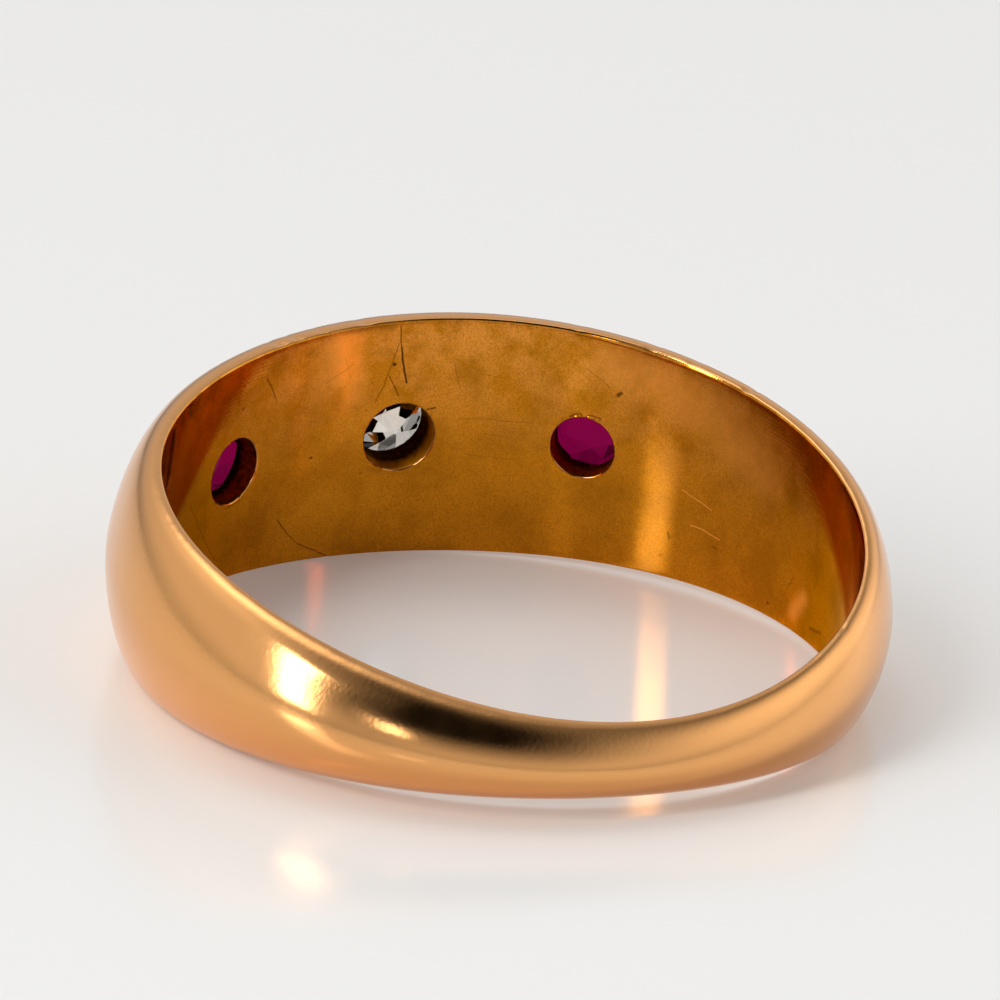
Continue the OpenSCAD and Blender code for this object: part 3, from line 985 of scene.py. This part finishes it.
class BuildBand(bpy.types.Operator):
    """Builds the gold band with its three drilled and bright-cut settings"""

    bl_idname = "gypsy.band"
    bl_label = "Build the band"

    def execute(self, context):
        sizes, settings = context.scene.gypsy_band, context.scene.gypsy_settings
        shape = BandShape(sizes)
        band = BandMesh(shape)
        for name in ("diamond", "ruby_left", "ruby_right"):
            band.add_hole(Hole(shape, settings, name))
        band.close()
        points = band.worn(sizes.waviness)
        faces = np.concatenate(band.faces)
        mesh = bpy.data.meshes.new("gold_band")
        mesh.from_pydata(lying_down(points), [], faces)
        mesh.shade_smooth()
        mesh.set_sharp_from_angle(angle=math.radians(SHARP_EDGE))
        place = mesh.attributes.new("ring_place", "FLOAT_VECTOR", "POINT")
        place.data.foreach_set("vector", (points / MM).ravel())
        # The painted shade of the holes also picks the faces that take the drilled gold
        hole_shade = np.concatenate(band.hole_shade)
        mesh.attributes.new("hole_shade", "FLOAT", "POINT").data.foreach_set("value", hole_shade)
        satin = np.concatenate(band.satin)[faces].mean(axis=1) > 0.5
        drilled = hole_shade[faces].max(axis=1) > 0
        mesh.polygons.foreach_set("material_index", np.where(drilled, 2, satin.astype(int)))
        finish = context.scene.gypsy_finishes
        finishes = (
            polished_gold(finish),
            satin_gold(finish, shape.finger_r),
            drilled_gold(finish),
        )
        piece = new_object("gold_band", mesh, *finishes)
        if mesh.validate():
            raise RuntimeError("the band's mesh has faults")
        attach(piece, "root")
        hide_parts("band")
        return {"FINISHED"}


class SetStones(bpy.types.Operator):
    """Gives the three set stones the look of cut diamond and ruby"""

    bl_idname = "gypsy.stones"
    bl_label = "Set the stones"

    def execute(self, context):
        finish = context.scene.gypsy_finishes
        diamond, ruby = cut_diamond(finish), cut_ruby(finish)
        for name, material in (
            ("diamond", diamond),
            ("ruby_left", ruby),
            ("ruby_right", ruby),
        ):
            stone = frame["nodes"][name]
            stone.data.materials.clear()
            stone.data.materials.append(material)
        return {"FINISHED"}


def direction(azimuth, elevation):
    """The unit vector at an azimuth and an elevation."""
    level = math.cos(elevation)
    return Vector(
        (level * math.cos(azimuth), level * math.sin(azimuth), math.sin(elevation))
    )


def facing(back):
    """The turn that makes a camera or light at the end of back look along it."""
    right = Vector((0, 0, 1)).cross(back).normalized()
    return Matrix((right, back.cross(right), back)).transposed()


class SetStage(bpy.types.Operator):
    """Sets out the floor, the soft lights and the camera"""

    bl_idname = "gypsy.stage"
    bl_label = "Set the stage"

    def execute(self, context):
        self.add_floor(context.scene.gypsy_finishes)
        self.add_surround()
        for light in SOFT_BOXES:
            self.add_light(*light)
        self.add_camera(context.scene.gypsy_stage)
        context.scene.view_settings.view_transform = "Standard"
        return {"FINISHED"}

    def add_floor(self, finish):
        """A wide sheet of polished white acrylic, lit a little from below. It mirrors softly."""
        mesh = bpy.data.meshes.new("floor")
        side = FLOOR_REACH
        corners = [(-side, -side, 0), (side, -side, 0), (side, side, 0), (-side, side, 0)]
        mesh.from_pydata(corners, [], [(0, 1, 2, 3)])
        material, tree = new_material("white acrylic")
        shader = node(
            tree,
            "ShaderNodeBsdfPrincipled",
            {
                "Base Color": finish.floor,
                "Roughness": 0.15,
                "IOR": 1.49,
                "Emission Color": finish.glow,
                "Emission Strength": 0.1,
            },
        )
        node(tree, "ShaderNodeOutputMaterial", {"Surface": shader})
        new_object("floor", mesh, material)

    def add_surround(self):
        """The white tent round the ring, with its brighter and dimmer sides."""
        world = bpy.data.worlds.new("tent")
        world.use_nodes = True
        bpy.context.scene.world = world
        tree = world.node_tree
        tree.nodes.clear()
        out = node(tree, "ShaderNodeTexCoord").outputs["Generated"]
        bright = TENT_LEVEL
        for azimuth, elevation, radius, change in TENT:
            towards = direction(math.radians(azimuth), math.radians(elevation))
            near = node(
                tree, "ShaderNodeVectorMath", {0: out, 1: towards}, operation="DOT_PRODUCT"
            ).outputs["Value"]
            away = node(tree, "ShaderNodeMath", {0: near}, operation="ARCCOSINE")
            patch = node(
                tree,
                "ShaderNodeMapRange",
                {"Value": away, "From Max": math.radians(radius), "To Min": change, "To Max": 0.0},
                interpolation_type="SMOOTHSTEP",
            )
            bright = node(tree, "ShaderNodeMath", {0: bright, 1: patch})
        lit = node(tree, "ShaderNodeMath", {0: bright, 1: 0.0}, operation="MAXIMUM")
        shade = node(tree, "ShaderNodeBackground", {"Strength": lit})
        node(tree, "ShaderNodeOutputWorld", {"Surface": shade})

    def add_light(self, name, azimuth, elevation, distance, size, power):
        """A soft box that faces the ring."""
        lamp = bpy.data.lights.new(name, "AREA")
        lamp.shape = "RECTANGLE"
        lamp.size, lamp.size_y = size
        lamp.energy = power
        made = bpy.data.objects.new(name, lamp)
        bpy.context.scene.collection.objects.link(made)
        away = direction(math.radians(azimuth), math.radians(elevation))
        made.matrix_world = Matrix.Translation(away * distance) @ facing(away).to_4x4()

    def add_camera(self, stage):
        """The camera at the photograph's viewing angle."""
        lens = bpy.data.cameras.new("camera")
        lens.lens = stage.lens
        lens.sensor_width = 36
        lens.clip_start, lens.clip_end = 0.01, 10
        camera = bpy.data.objects.new("camera", lens)
        bpy.context.scene.collection.objects.link(camera)
        away = direction(stage.camera_at, stage.camera_up)
        aim = Vector((stage.aim_x, stage.aim_y, stage.aim_z))
        turned = facing(away) @ Matrix.Rotation(stage.camera_roll, 3, "Z")
        place = aim + away * stage.camera_far
        camera.matrix_world = Matrix.Translation(place) @ turned.to_4x4()
        bpy.context.scene.camera = camera


# From the middle of the floor to its sides, in metres
FLOOR_REACH = 1.5
# The lights: name, azimuth and elevation in degrees, distance, width and height in metres,
# and watts
SOFT_BOXES = (
    ("strip light", 107, 32, 0.5, (0.088, 0.445), 1.2),
    ("small light", 141, 25, 0.5, (0.07, 0.09), 0.07),
)
# How bright the tent is, and its soft patches: azimuth, elevation and radius in degrees, and
# the light that each adds or takes away. The one straight below reaches past the horizon
# and dims it.
TENT_LEVEL = 1.0
TENT = [
    (-94, 26, 52, 0.67),
    (35, 59, 37, 0.52),
    (0, 0, 58, -0.38),
    (122, 30, 43, -0.54),
    (171, 52, 55, -1.1),
    (-55, 71, 55, -0.84),
    (0, -90, 105, -6.8),
    (0, 64, 25, 2.3),
    (-72, 2, 22, 0.5),
]


class GypsyRingPanel(bpy.types.Panel):
    """Lists the steps that build the ring, with their sizes and colours"""

    bl_idname = "GYPSY_PT_ring"
    bl_label = "Gypsy Ring"
    bl_space_type = "VIEW_3D"
    bl_region_type = "UI"
    bl_category = "Gypsy Ring"

    def draw(self, context):
        for step in STEPS:
            self.layout.operator(step.bl_idname)
        for name in GROUPS:
            group = getattr(context.scene, name)
            box = self.layout.box()
            for size in group.__annotations__:
                box.prop(group, size)


STEPS = (SetStage, BuildBand, SetStones)
GROUPS = {
    "gypsy_band": BandSizes,
    "gypsy_settings": SettingSizes,
    "gypsy_finishes": Finishes,
    "gypsy_stage": StageSizes,
}


def register():
    """Makes the sizes, the steps and the panel known to Blender."""
    for kind in (*GROUPS.values(), *STEPS, GypsyRingPanel):
        bpy.utils.register_class(kind)
    for name, kind in GROUPS.items():
        setattr(bpy.types.Scene, name, bpy.props.PointerProperty(type=kind))


def unregister():
    """Takes them away again."""
    for name in GROUPS:
        delattr(bpy.types.Scene, name)
    for kind in (GypsyRingPanel, *STEPS[::-1], *reversed(GROUPS.values())):
        bpy.utils.unregister_class(kind)


def main():
    """Builds the scene."""
    register()
    bpy.ops.gypsy.stage()
    bpy.ops.gypsy.band()
    bpy.ops.gypsy.stones()


if __name__ == "__main__":
    main()
